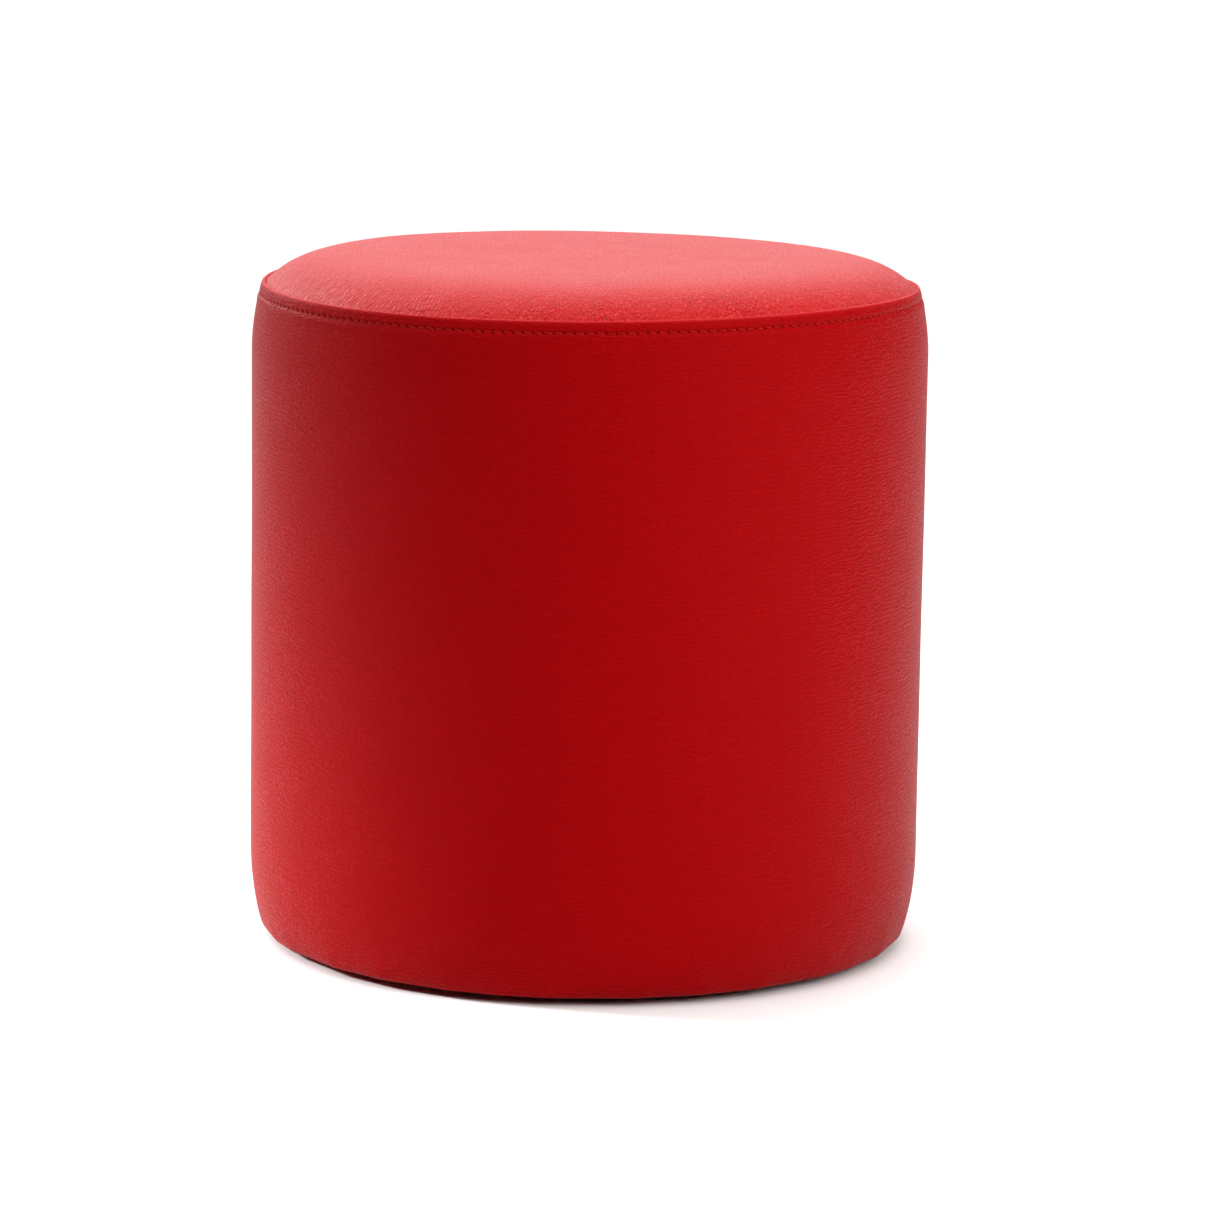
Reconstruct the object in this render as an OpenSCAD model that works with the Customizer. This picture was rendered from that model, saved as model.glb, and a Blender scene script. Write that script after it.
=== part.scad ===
// Round upholstered pouf: a wooden drum frame, foam and wadding over it,
// and a sewn leatherette cover with a topstitched rim.
// Millimetres. The floor is z = 0, the axis is x = y = 0, and the cover's
// closing seam faces +Y, at the back.

/* [Overall] */
// Diameter across the cover, at the straight part of the wall
pouf_d = 400; // [300:5:520]
// Height from the floor to the crown of the seat
pouf_h = 410; // [320:5:520]

/* [Frame] */
// Thickness of the seat board and of the base board
board_t = 12; // [9:0.5:20]
// Side of the square posts
post_w = 30; // [20:1:45]
// Thickness of the hardboard that is wrapped round the boards
wrap_t = 3; // [2:0.5:5]
// Width left open at the butt joint of the wrap
wrap_joint = 1; // [0.5:0.5:3]

/* [Padding] */
// Thickness of the seat foam
seat_foam_t = 50; // [25:1:70]
// Thickness of the wadding on the seat foam
wadding_t = 10; // [4:1:16]
// Thickness of the foam round the wall, pulled down by the cover
side_foam_t = 9; // [5:0.5:14]

/* [Cover] */
// Thickness of the leatherette with its backing
cover_t = 1.2; // [0.8:0.1:1.6]
// Width of the seam allowances
allowance = 12; // [8:1:16]
// How far the rim seam stands in from the wall
rim_in = 7; // [4:0.5:14]
// Height over which the wall curves in to the rim seam
shoulder_h = 38; // [25:1:60]
// Height of the crown above the rim seam
crown_h = 18; // [10:0.5:26]
// Radius of the crown's rolled edge
crown_edge_r = 72; // [50:1:90]
// Height over which the wall is drawn in to the foot
foot_h = 48; // [30:1:70]
// Inner radius of the fold under the frame
fold_r = 3; // [2:0.5:6]
// Width of the cover that is turned under the base board
hem_w = 44; // [40:1:60]

/* [Stitching] */
// Thickness of the sewing thread
thread_d = 0.7; // [0.4:0.1:1]
// Distance from the rim seam down to the topstitching
stitch_drop = 6; // [4:0.5:8]
// Distance from one stitch to the next
stitch_pitch = 5.8; // [3:0.1:8]
// Width of the closing seam's slot
seam_slot = 0.4; // [0.2:0.1:1]

/* [Base] */
// Thickness of the dust cover
dust_t = 0.6; // [0.4:0.1:1.2]
// How far the dust cover's edge stands in from the board's edge
dust_inset = 5; // [2:0.5:8]
// Diameter of the glides
glide_d = 22; // [16:1:26]
// Height of the glides
glide_h = 4; // [3:0.5:10]
// Distance from the board's edge in to the centre of a glide
glide_inset = 23; // [22:0.5:26]

/* [Fasteners] */
// Diameter of the frame screws
screw_d = 4; // [3:0.5:5]
// Length of the frame screws
screw_l = 45; // [30:5:60]
// Diameter of the glide screws
glide_screw_d = 3; // [2.5:0.5:3.5]
// Length of the glide screws
glide_screw_l = 14; // [10:1:14]
// Width of a staple's crown
staple_crown = 10; // [6:0.5:13]
// Length of a staple's legs
staple_leg = 8; // [5:0.5:8]
// Thickness of the staple wire
staple_wire = 0.6; // [0.4:0.1:0.8]
// How deep the wrap's staples are driven below its face
staple_sunk = 0.3; // [0.2:0.1:0.6]
// Spacing of the staples that hold the cover
cover_staple_pitch = 30; // [20:1:60]
// Spacing of the staples that hold the dust cover
dust_staple_pitch = 46; // [30:1:80]
// Spacing of the staples that hold the wrap
wrap_staple_pitch = 59; // [40:1:90]

/* [Fit] */
// Clearance between curved pieces that lie against each other
gap = 0.2; // [0.1:0.1:0.5]

/* [Hidden] */
post_count = 6;
glide_count = 4;

// Smoothness of large turned surfaces, of small ones, and of arcs in outlines
$fn = 180;
small_fn = 32;
arc_steps = 8;
// Overcut of a cutting tool past the face that it cuts
over = 1;

// Heights, from the floor up
dust_z = glide_h;
cover_z = dust_z + dust_t;
base_z = cover_z + cover_t;
base_top = base_z + board_t;
rim_z = pouf_h - crown_h;
seat_top = pouf_h - cover_t - gap - wadding_t - seat_foam_t;
seat_z = seat_top - board_t;
shoulder_z = rim_z - shoulder_h;
foot_z = cover_z + foot_h;
allowance_z = rim_z - allowance;

// Radii, from the outside in
wall_r = pouf_d / 2;
rim_r = wall_r - rim_in;
wrap_r = wall_r - cover_t - side_foam_t - 2 * gap;
board_r = wrap_r - wrap_t;
foot_r = wrap_r + gap + cover_t;
dust_r = board_r - dust_inset;

// The wall's outline is three arcs, each tangent to the next:
// the fold under the frame, the foot above it, and the shoulder at the rim
outer_fold_r = fold_r + cover_t;
foot_in = wall_r - foot_r;
foot_rise = foot_h - outer_fold_r;
foot_arc_r = outer_fold_r + (pow(foot_in, 2) + pow(foot_rise, 2)) / (2 * foot_in);
foot_a = asin(foot_rise / (foot_arc_r - outer_fold_r));
shoulder_arc_r = (pow(rim_in, 2) + pow(shoulder_h, 2)) / (2 * rim_in);
shoulder_a = asin(shoulder_h / shoulder_arc_r);
stitch_a = shoulder_a - stitch_drop / shoulder_arc_r * 180 / PI;

// The crown is flat as far as flat_r and then rolls down to the rim
flat_r = rim_r - sqrt(2 * crown_edge_r * crown_h - pow(crown_h, 2));

// Stations of the posts and fasteners
post_corner_gap = 0.5;
post_r = sqrt(pow(board_r - post_corner_gap, 2) - pow(post_w / 2, 2)) - post_w / 2;
glide_r = board_r - glide_inset;
dust_staple_r = board_r - 9;
cover_staple_r = board_r - 37;

// The wadding's edge clears both the top panel's allowance and the wall foam
wadding_r = min(rim_r - 3 * cover_t, wrap_r) - gap;

// Angle by which the top panel's allowance runs on past the rim into the panel
past_rim = 6;

leatherette = "firebrick";
timber = "burlywood";
hardboard = "peru";
steel = "silver";
foam = "lightyellow";

// ---- outlines, as (radius, height) ----

function arc(centre, r, from, to) =
    [for (i = [0 : arc_steps])
        let (a = from + (to - from) * i / arc_steps)
        centre + r * [cos(a), sin(a)]];

// The wall from the fold up to the rim, moved in by inset. It runs past the
// rim by the angle past.
function wall_curve(inset, past = 0) = concat(
    arc([foot_r - outer_fold_r, cover_z + outer_fold_r],
        outer_fold_r - inset, -90, -foot_a),
    arc([wall_r - foot_arc_r, foot_z], foot_arc_r - inset, -foot_a, 0),
    arc([wall_r - shoulder_arc_r, shoulder_z],
        shoulder_arc_r - inset, 0, shoulder_a + past));

function reversed(list) = [for (i = [len(list) - 1 : -1 : 0]) list[i]];

module wall_band(inset_out, inset_in, past = 0) {
    polygon(concat(wall_curve(inset_out, past), reversed(wall_curve(inset_in, past))));
}

module inside_wall(inset) {
    curve = wall_curve(inset);
    last = curve[len(curve) - 1];
    polygon(concat([[0, curve[0][1]]], curve, [[0, last[1]]]));
}

module under_crown(inset) {
    edge_r = crown_edge_r - inset;
    polygon(concat(
        [[0, 0], [flat_r + edge_r, 0]],
        arc([flat_r, pouf_h - crown_edge_r], edge_r, 0, 90),
        [[0, pouf_h - inset]]));
}

// The part of an outline between two radii and two heights
module window(r_in, r_out, z_low, z_high) {
    intersection() {
        children();
        translate([r_in, z_low]) square([r_out - r_in, z_high - z_low]);
    }
}

// A point on the wall's curve at the shoulder angle a, moved in by inset
function shoulder_point(a, inset) =
    [wall_r - shoulder_arc_r, shoulder_z] + (shoulder_arc_r - inset) * [cos(a), sin(a)];

// ---- frame ----

module board(z) {
    translate([0, 0, z]) cylinder(r = board_r, h = board_t);
}

module base_board() {
    color(timber) difference() {
        board(base_z);
        base_screw_bodies();
        glide_screw_bodies();
        cover_staple_ring();
        dust_staple_ring();
        wrap_staple_ring(base_z + board_t / 2);
    }
}

module seat_board() {
    color(timber) difference() {
        board(seat_z);
        seat_screw_bodies();
        wrap_staple_ring(seat_z + board_t / 2);
    }
}

// Post 1 stands at the back, behind the wrap's joint
module at_post(i) {
    rotate([0, 0, 90 + (i - 1) * 360 / post_count])
        translate([post_r, 0, 0])
            children();
}

module post(i) {
    color(timber) difference() {
        at_post(i)
            translate([-post_w / 2, -post_w / 2, base_top])
                cube([post_w, post_w, seat_z - base_top]);
        base_screw_bodies();
        seat_screw_bodies();
    }
}

module wall_wrap() {
    color(hardboard) difference() {
        rotate_extrude() intersection() {
            inside_wall(cover_t + gap);
            translate([board_r, base_z]) square([wrap_t, seat_top - base_z]);
        }
        translate([-wrap_joint / 2, 0, 0]) cube([wrap_joint, wall_r, pouf_h]);
        wrap_staple_ring(base_z + board_t / 2, over);
        wrap_staple_ring(seat_z + board_t / 2, over);
    }
}

// ---- screws and staples ----

// A countersunk screw with its head's face at z = 0 and its tip up
module screw_body(d, l) {
    head_h = d / 2;
    cylinder(d1 = 2 * d, d2 = d, h = head_h, $fn = small_fn);
    translate([0, 0, head_h]) cylinder(d = d, h = l - head_h, $fn = small_fn);
}

// The cross-shaped recess in a screw's head
module drive_recess(d) {
    depth = d / 3;
    for (turn = [0, 90])
        rotate([0, 0, turn])
            translate([-d / 2, -d / 10, -over])
                cube([d, d / 5, depth + over]);
}

module base_screw_bodies() {
    for (i = [1 : post_count])
        at_post(i) translate([0, 0, base_z]) screw_body(screw_d, screw_l);
}

module seat_screw_bodies() {
    for (i = [1 : post_count])
        at_post(i) translate([0, 0, seat_top]) mirror([0, 0, 1]) screw_body(screw_d, screw_l);
}

module base_screws() {
    color(steel) difference() {
        base_screw_bodies();
        for (i = [1 : post_count])
            at_post(i) translate([0, 0, base_z]) drive_recess(screw_d);
    }
}

module seat_screws() {
    color(steel) difference() {
        seat_screw_bodies();
        for (i = [1 : post_count])
            at_post(i) translate([0, 0, seat_top]) mirror([0, 0, 1]) drive_recess(screw_d);
    }
}

// A staple with its crown along X at z = 0 and its legs up. A slot below the
// crown makes the cutter for one that is driven below a face.
module staple(slot = 0) {
    translate([-staple_crown / 2, -staple_wire / 2, 0]) {
        translate([0, 0, -slot])
            cube([staple_crown, staple_wire, staple_wire + slot]);
        cube([staple_wire, staple_wire, staple_leg]);
        translate([staple_crown - staple_wire, 0, 0])
            cube([staple_wire, staple_wire, staple_leg]);
    }
}

// Equal stations round a circle of radius r, about pitch apart
module round_circle(r, pitch) {
    count = round(2 * PI * r / pitch);
    for (i = [0 : count - 1])
        rotate([0, 0, (i + 0.5) * 360 / count])
            translate([0, -r, 0])
                children();
}

module cover_staple_ring() {
    round_circle(cover_staple_r, cover_staple_pitch)
        translate([0, 0, cover_z]) staple();
}

module dust_staple_ring() {
    round_circle(dust_staple_r, dust_staple_pitch)
        translate([0, 0, dust_z]) staple();
}

module wrap_staple_ring(z, slot = 0) {
    round_circle(wrap_r, wrap_staple_pitch)
        translate([0, staple_sunk, z]) rotate([-90, 0, 0]) staple(slot);
}

module cover_staples() {
    color(steel) cover_staple_ring();
}

module dust_cover_staples() {
    color(steel) dust_staple_ring();
}

module wrap_staples_bottom() {
    color(steel) wrap_staple_ring(base_z + board_t / 2);
}

module wrap_staples_top() {
    color(steel) wrap_staple_ring(seat_z + board_t / 2);
}

// ---- padding ----

module seat_foam() {
    color(foam) rotate_extrude() intersection() {
        under_crown(cover_t + gap + wadding_t);
        translate([0, seat_top]) square([wrap_r, seat_foam_t]);
    }
}

module seat_wadding() {
    color("white") rotate_extrude() difference() {
        window(0, wadding_r, seat_top, pouf_h) under_crown(cover_t + gap);
        under_crown(cover_t + gap + wadding_t);
        wall_band(2 * cover_t, 3 * cover_t + gap, past_rim);
    }
}

module side_foam() {
    color(foam) difference() {
        rotate_extrude()
            window(wrap_r + gap, wall_r, base_top, allowance_z - gap)
                inside_wall(cover_t + gap);
        back_allowances(gap);
    }
}

// ---- cover ----

// The closing seam's allowances, pressed open behind the wall and grown
module back_allowances(grow) {
    width = 2 * (allowance + grow);
    intersection() {
        rotate_extrude() wall_band(cover_t, 2 * cover_t + grow);
        translate([-width / 2, 0, base_top - grow])
            cube([width, wall_r, allowance_z - base_top + 2 * grow]);
    }
}

module top_panel() {
    color(leatherette) rotate_extrude() difference() {
        union() {
            difference() {
                window(0, shoulder_point(shoulder_a, 2 * cover_t)[0], seat_top, pouf_h)
                    under_crown(0);
                under_crown(cover_t);
            }
            intersection() {
                window(0, wall_r, allowance_z, pouf_h)
                    wall_band(2 * cover_t, 3 * cover_t, past_rim);
                under_crown(0);
            }
        }
        rim_thread_section();
    }
}

module side_panel() {
    fold = shoulder_point(shoulder_a, cover_t);
    hem_r = foot_r - outer_fold_r;
    hem_in = board_r - hem_w;
    color(leatherette) difference() {
        union() {
            rotate_extrude() difference() {
                union() {
                    wall_band(0, cover_t);
                    translate([hem_in, cover_z]) square([hem_r - hem_in, cover_t]);
                    window(0, wall_r, allowance_z, rim_z) wall_band(cover_t, 2 * cover_t);
                    translate(fold) circle(r = cover_t, $fn = small_fn);
                }
                rim_thread_section();
                topstitch_groove_section();
            }
            back_allowances(0);
        }
        translate([-seam_slot / 2, 0, 0]) cube([seam_slot, pouf_d, pouf_h]);
        cover_staple_ring();
        glide_screw_bodies();
        dust_staple_ring();
    }
}

// The hidden seam that joins the top panel to the side panel runs between
// their allowances, just below the fold
module rim_thread_section() {
    below_rim = 3;
    a = shoulder_a - below_rim / shoulder_arc_r * 180 / PI;
    translate(shoulder_point(a, 2 * cover_t)) circle(d = thread_d, $fn = small_fn);
}

module topstitch_groove_section() {
    translate(shoulder_point(stitch_a, 0)) circle(d = thread_d + gap, $fn = small_fn);
}

module rim_seam_thread() {
    color(leatherette) rotate_extrude() rim_thread_section();
}

// Separate stitches, half sunk in their groove
module topstitch_thread() {
    point = shoulder_point(stitch_a, 0);
    count = round(2 * PI * point[0] / stitch_pitch);
    stitch_l = 0.8 * stitch_pitch;
    color(leatherette)
        for (i = [0 : count - 1])
            rotate([0, 0, i * 360 / count])
                translate([-stitch_l / 2, -point[0], point[1]])
                    rotate([0, 90, 0])
                        cylinder(d = thread_d, h = stitch_l, $fn = small_fn);
}

// The closing seam's thread, in the slot behind the straight wall
module back_seam_thread() {
    color(leatherette)
        translate([0, wall_r - cover_t, foot_z])
            cylinder(d = seam_slot, h = shoulder_z - foot_z, $fn = small_fn);
}

// ---- base ----

module dust_cover() {
    color("dimgray") difference() {
        translate([0, 0, dust_z]) cylinder(r = dust_r, h = dust_t);
        glide_screw_bodies();
        dust_staple_ring();
    }
}

module at_glide(i) {
    rotate([0, 0, -45 + (i - 1) * 360 / glide_count])
        translate([glide_r, 0, 0])
            children();
}

// The glide screws' heads sit in the glides, clear of the floor
module glide_screw_bodies() {
    for (i = [1 : glide_count])
        at_glide(i)
            translate([0, 0, glide_h / 4])
                screw_body(glide_screw_d, glide_screw_l);
}

module glide_screws() {
    color(steel) difference() {
        glide_screw_bodies();
        for (i = [1 : glide_count])
            at_glide(i) translate([0, 0, glide_h / 4]) drive_recess(glide_screw_d);
    }
}

module glide(i) {
    edge_r = glide_h / 3;
    color("black") difference() {
        at_glide(i) {
            rotate_extrude() {
                square([glide_d / 2 - edge_r, glide_h]);
                translate([0, edge_r]) square([glide_d / 2, glide_h - edge_r]);
                translate([glide_d / 2 - edge_r, edge_r])
                    circle(r = edge_r, $fn = small_fn);
            }
        }
        glide_screw_bodies();
        at_glide(i)
            translate([0, 0, -over])
                cylinder(r = glide_screw_d + gap, h = glide_h / 4 + over, $fn = small_fn);
    }
}

base_board();
seat_board();
for (i = [1 : post_count])
    post(i);
wall_wrap();
seat_screws();
base_screws();
wrap_staples_top();
wrap_staples_bottom();
seat_foam();
side_foam();
seat_wadding();
top_panel();
side_panel();
rim_seam_thread();
topstitch_thread();
back_seam_thread();
cover_staples();
dust_cover();
dust_cover_staples();
for (i = [1 : glide_count])
    glide(i);
glide_screws();
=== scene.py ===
import math

import bmesh
import bpy
import numpy as np
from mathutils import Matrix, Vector, noise


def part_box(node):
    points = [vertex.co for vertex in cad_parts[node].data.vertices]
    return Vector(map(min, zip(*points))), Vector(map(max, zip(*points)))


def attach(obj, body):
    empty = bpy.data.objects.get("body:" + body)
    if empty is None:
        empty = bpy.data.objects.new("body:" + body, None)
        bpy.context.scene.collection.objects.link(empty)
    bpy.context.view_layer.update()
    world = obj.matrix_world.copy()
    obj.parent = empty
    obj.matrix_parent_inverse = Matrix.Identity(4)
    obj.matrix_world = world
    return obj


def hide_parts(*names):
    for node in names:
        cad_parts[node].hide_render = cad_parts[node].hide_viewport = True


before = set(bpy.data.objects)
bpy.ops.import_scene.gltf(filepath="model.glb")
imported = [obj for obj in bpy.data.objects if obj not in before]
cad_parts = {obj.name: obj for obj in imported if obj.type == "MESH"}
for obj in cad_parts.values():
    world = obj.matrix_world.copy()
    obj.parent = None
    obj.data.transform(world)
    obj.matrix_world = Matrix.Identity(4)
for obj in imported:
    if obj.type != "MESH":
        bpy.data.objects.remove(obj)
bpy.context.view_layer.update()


# ---- boards ----------------------------------------------------------------
# The seat board and the base board are discs of 12 mm birch plywood, routed
# round and sanded. Their faces show long grain and their edges the plies.

def hex_colour(text):
    """An sRGB hex value as a linear colour."""
    values = [int(text[i:i + 2], 16) / 255 for i in (1, 3, 5)]
    linear = [v / 12.92 if v <= 0.04045 else ((v + 0.055) / 1.055) ** 2.4 for v in values]
    return (*linear, 1.0)


def new_material(name):
    """A material with no nodes yet."""
    material = bpy.data.materials.new(name)
    material.use_nodes = True
    material.node_tree.nodes.clear()
    return material


def add(material, kind, settings=None, links=None):
    """One shader node. Settings fill its sockets, properties or ramp stops; links join its inputs."""
    node = material.node_tree.nodes.new("ShaderNode" + kind)
    for key, value in (settings or {}).items():
        if key == "stops":
            for _ in value[2:]:
                node.color_ramp.elements.new(0.5)
            for element, (place, colour) in zip(node.color_ramp.elements, value):
                element.position = place
                element.color = hex_colour(colour)
        elif isinstance(key, int) or key in node.inputs:
            node.inputs[key].default_value = value
        else:
            setattr(node, key, value)
    for key, source in (links or {}).items():
        socket = source if isinstance(source, bpy.types.NodeSocket) else source.outputs[0]
        material.node_tree.links.new(socket, node.inputs[key])
    return node


def dress(node_name, material):
    """Gives a CAD node its finish."""
    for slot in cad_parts[node_name].material_slots:
        slot.material = material


# Birch plywood, rotary cut and sanded: pale, with a soft silky sheen
plywood = new_material("birch_plywood_sanded")
place = add(plywood, "TexCoord").outputs["Object"]
grain_length, grain_width, ply = 0.090, 0.0022, 0.0013
along = add(plywood, "Mapping",
            {"Scale": (1 / grain_length, 1 / grain_width, 1 / grain_width)}, {"Vector": place})
figure = add(plywood, "TexNoise", {"Scale": 1.0, "Detail": 4.0, "Distortion": 0.6}, {"Vector": along})
face = add(plywood, "ValToRGB", {"stops": [(0.3, "#C79C63"), (0.7, "#E2C493")]}, {"Fac": figure})
height = add(plywood, "SeparateXYZ", {}, {"Vector": place})
layer = add(plywood, "Math", {"operation": "PINGPONG", 1: ply}, {0: height.outputs["Z"]})
dark_ply = add(plywood, "Math", {"operation": "GREATER_THAN", 1: ply / 2}, {0: layer})
edge = add(plywood, "Mix", {"data_type": "RGBA", 6: hex_colour("#D9B683"), 7: hex_colour("#8E6237")},
           {0: dark_ply})
facing = add(plywood, "SeparateXYZ", {}, {"Vector": add(plywood, "NewGeometry").outputs["Normal"]})
upright = add(plywood, "Math", {"operation": "ABSOLUTE"}, {0: facing.outputs["Z"]})
is_face = add(plywood, "Math", {"operation": "GREATER_THAN", 1: 0.5}, {0: upright})
wood = add(plywood, "Mix", {"data_type": "RGBA"}, {0: is_face, 6: edge.outputs[2], 7: face})
relief = add(plywood, "Bump", {"Strength": 0.4, "Distance": 0.0002}, {"Height": figure})
shader = add(plywood, "BsdfPrincipled", {"Roughness": 0.55, "IOR": 1.5},
             {"Base Color": wood.outputs[2], "Normal": relief})
add(plywood, "OutputMaterial", {}, {"Surface": shader})
dress("seat_board", plywood)
dress("base_board", plywood)


# ---- posts -----------------------------------------------------------------
# Six sawn softwood battens stand between the boards, screwed through their end
# grain. The saw leaves fine cross marks over the straight growth rings.

def wave_scale(length):
    """The wave texture's Scale for bands of the given length."""
    return math.pi / (10 * length)


pine = new_material("pine_sawn")
place = add(pine, "TexCoord").outputs["Object"]
growth_ring, saw_mark = 0.0070, 0.0012
growth = add(pine, "TexWave",
             {"wave_type": "RINGS", "rings_direction": "Z", "Scale": wave_scale(growth_ring),
              "Distortion": 2.5, "Detail": 3.0, "Detail Scale": 0.6},
             {"Vector": add(pine, "Mapping", {"Scale": (1.0, 1.0, 0.08)}, {"Vector": place})})
tone = add(pine, "ValToRGB",
           {"stops": [(0.0, "#E0BC80"), (0.7, "#D2A765"), (1.0, "#A9743C")]}, {"Fac": growth})
marks = add(pine, "TexNoise", {"Scale": 1.0, "Detail": 2.0},
            {"Vector": add(pine, "Mapping", {"Scale": (30, 30, 1 / saw_mark)}, {"Vector": place})})
relief = add(pine, "Bump", {"Strength": 0.6, "Distance": 0.0003}, {"Height": marks})
shader = add(pine, "BsdfPrincipled", {"Roughness": 0.7, "IOR": 1.5},
             {"Base Color": tone, "Normal": relief})
add(pine, "OutputMaterial", {}, {"Surface": shader})
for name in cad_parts:
    if name.startswith("post_"):
        dress(name, pine)


# ---- wall wrap -------------------------------------------------------------
# A strip of 3 mm hardboard is bent round the boards and stapled to their edges,
# with its butt joint on the back post. Pressed wood fibre, brown and hard.

hardboard = new_material("hardboard_pressed")
place = add(hardboard, "TexCoord").outputs["Object"]
fibre = 0.0015
fibres = add(hardboard, "TexNoise", {"Scale": 1 / fibre, "Detail": 6.0, "Roughness": 0.7},
             {"Vector": place})
patches = add(hardboard, "TexNoise", {"Scale": 12.0, "Detail": 3.0}, {"Vector": place})
both = add(hardboard, "Math", {"operation": "MULTIPLY"}, {0: fibres, 1: patches})
tone = add(hardboard, "ValToRGB", {"stops": [(0.15, "#4E2F18"), (0.4, "#7A4F2C")]}, {"Fac": both})
relief = add(hardboard, "Bump", {"Strength": 0.5, "Distance": 0.0002}, {"Height": fibres})
shader = add(hardboard, "BsdfPrincipled", {"Roughness": 0.5, "IOR": 1.5},
             {"Base Color": tone, "Normal": relief})
add(hardboard, "OutputMaterial", {}, {"Surface": shader})
dress("wall_wrap", hardboard)


# ---- screws and staples ----------------------------------------------------
# Countersunk wood screws hold the posts, the glides have shorter ones, and
# galvanised wire staples hold the wrap, the cover and the dust cover.

zinc = new_material("steel_zinc_plated")
place = add(zinc, "TexCoord").outputs["Object"]
spangle = 0.0009
flakes = add(zinc, "TexVoronoi", {"Scale": 1 / spangle}, {"Vector": place})
tone = add(zinc, "ValToRGB", {"stops": [(0.2, "#A9AFB4"), (0.8, "#D4D8DA")]},
           {"Fac": flakes.outputs["Distance"]})
worn = add(zinc, "MapRange", {"To Min": 0.24, "To Max": 0.42}, {"Value": flakes.outputs["Distance"]})
shader = add(zinc, "BsdfPrincipled", {"Metallic": 1.0}, {"Base Color": tone, "Roughness": worn})
add(zinc, "OutputMaterial", {}, {"Surface": shader})
for name in ("seat_screws", "base_screws", "glide_screws", "wrap_staples_top",
             "wrap_staples_bottom", "cover_staples", "dust_cover_staples"):
    dress(name, zinc)


# ---- the cover's form ------------------------------------------------------
# The cover is pulled tight over the padding, so its form is set first and the
# padding is fitted under it. The wall is straight, draws in to the foot, and
# curves in to the rim seam; the crown is flat and rolls down at its edge.

low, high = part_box("side_panel")
wall_r = (high.x - low.x) / 2
cover_z = low.z
top_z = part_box("top_panel")[1].z
leather = 0.0012
allowance = 0.012

# How far and how high the wall draws in at its foot, and at the shoulder under the rim
foot_r, foot_h = wall_r - 0.0090, 0.0475
rim_r, shoulder_h = wall_r - 0.0071, 0.0375
# How square those two curves are: 2 would be an ellipse's quarter
foot_square, shoulder_square = 1.73, 1.52
# At the rim the wall is folded over to a round lip of this radius
rim_z = top_z - 0.0184
lip = 0.0009
# The crown's edge follows a high power of the radius, so its middle is flat
crown_r = rim_r - 2 * lip
crown_power = 9.8
# The rim isn't level: it rises and falls twice on its way round, and leans a little
rim_wave, rim_wave_at = 0.00135, math.radians(-29.6)
rim_lean, rim_lean_at = 0.0006, math.radians(-54)
lift_reach = 0.12
# Where the closing seam stands
back = math.radians(90)


def quarter(t, square):
    """A sine or cosine bent to make the quarter of a squarer or rounder curve."""
    return np.abs(t) ** (2 / square)


def wall_line():
    """The wall's outline as (radius, height, outward normal), by distance down from the rim."""
    t = np.radians(np.linspace(2, 90, 60))
    foot = (foot_r + (wall_r - foot_r) * quarter(np.sin(t), foot_square),
            cover_z + foot_h * (1 - quarter(np.cos(t), foot_square)))
    t = np.radians(np.linspace(0, 80, 60))
    shoulder = (rim_r + (wall_r - rim_r) * quarter(np.cos(t), shoulder_square),
                rim_z - shoulder_h + shoulder_h * quarter(np.sin(t), shoulder_square))
    r = np.concatenate([foot[0], shoulder[0]])[::-1]
    z = np.concatenate([foot[1], shoulder[1]])[::-1]
    s = np.concatenate([[0], np.cumsum(np.hypot(np.diff(r), np.diff(z)))])
    dr, dz = np.gradient(r, s), np.gradient(z, s)
    return s, r, z, -dz, dr


line_s, line_r, line_z, line_nr, line_nz = wall_line()
wall_length = line_s[-1]


def on_wall(s, out=0.0):
    """The point s below the rim along the wall, moved out along its normal."""
    r, z, nr, nz = (np.interp(s, line_s, line) for line in (line_r, line_z, line_nr, line_nz))
    size = np.hypot(nr, nz)
    return r + out * nr / size, z + out * nz / size


def crown(r):
    """The crown's height at a radius."""
    return rim_z + (top_z - rim_z) * (1 - (np.minimum(r, crown_r) / crown_r) ** crown_power)


def rim_lift(angle, r, z):
    """How far the unlevel rim lifts a point; the lift dies away down the wall."""
    share = np.clip((z - (rim_z - lift_reach)) / lift_reach, 0, 1)
    fade = share * share * (3 - 2 * share)
    wave = rim_wave * np.cos(2 * (angle - rim_wave_at)) * (r / wall_r) ** 2
    return (wave + rim_lean * np.cos(angle - rim_lean_at) * r / wall_r) * fade


# Stations round the drum start at the closing seam, at the back. There are six
# to a stitch, and they close up on the seam so that its groove can be modelled.
stitches = 211
per_stitch = 6
step = 2 * math.pi / (stitches * per_stitch)
near = 30
spread = np.linspace(-1, 1, 4 * near + 1)[:-1]
near_seam = near * step * (spread + spread ** 3) / 2
far = step * np.arange(near, stitches * per_stitch - near)
columns = back + np.concatenate([near_seam[2 * near:], far, near_seam[:2 * near]])
columns_mid, columns_few = columns[::3], columns[::6]


def ring(angles, r, z, level=False):
    """Points round the drum at the given radius and height, lifted with the rim unless level."""
    r, z = np.broadcast_to(r, angles.shape), np.broadcast_to(z, angles.shape)
    lift = 0.0 if level else rim_lift(angles, r, z)
    return np.stack([r * np.cos(angles), r * np.sin(angles), z + lift], 1)


def ripple(angles, r, z, size, seed):
    """Smooth noise from -1 to 1 with lumps of the given size (along, up), the same each run."""
    r, z = np.broadcast_to(r, angles.shape), np.broadcast_to(z, angles.shape)
    scale = Vector((1 / size[0], 1 / size[0], 1 / size[1]))
    return np.array([
        noise.noise(Vector((a * math.cos(t) * scale.x + seed, a * math.sin(t) * scale.y, h * scale.z)))
        for t, a, h in zip(angles, r, z)])


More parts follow.
